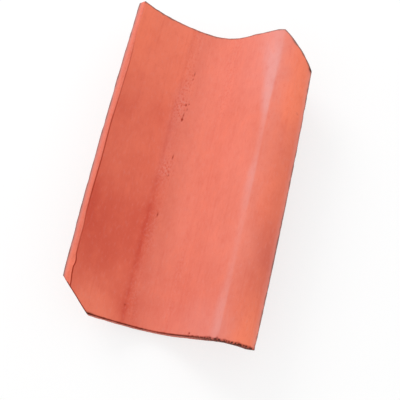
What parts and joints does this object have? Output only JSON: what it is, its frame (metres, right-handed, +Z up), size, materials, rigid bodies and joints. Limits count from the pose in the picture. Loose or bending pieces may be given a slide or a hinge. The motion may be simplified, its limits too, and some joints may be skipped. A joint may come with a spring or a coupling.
{
  "type": "clay roof tile",
  "caption": "S-shaped fired clay pantile with an upturned lip, a deep channel, a roll, clipped corners and a hanging nib under its head.",
  "frame": {"origin": "middle of the bounding box, on the floor the tile lies on", "axes": "+X across the tile from the lip to the roll, +Y along it from the foot to the head, +Z up"},
  "size_m": [0.2374, 0.4024, 0.0849],
  "materials": {
    "terracotta": "matte, unglazed"
  },
  "bodies": {
    "root": {"tile": "terracotta"}
  },
  "joints": []
}
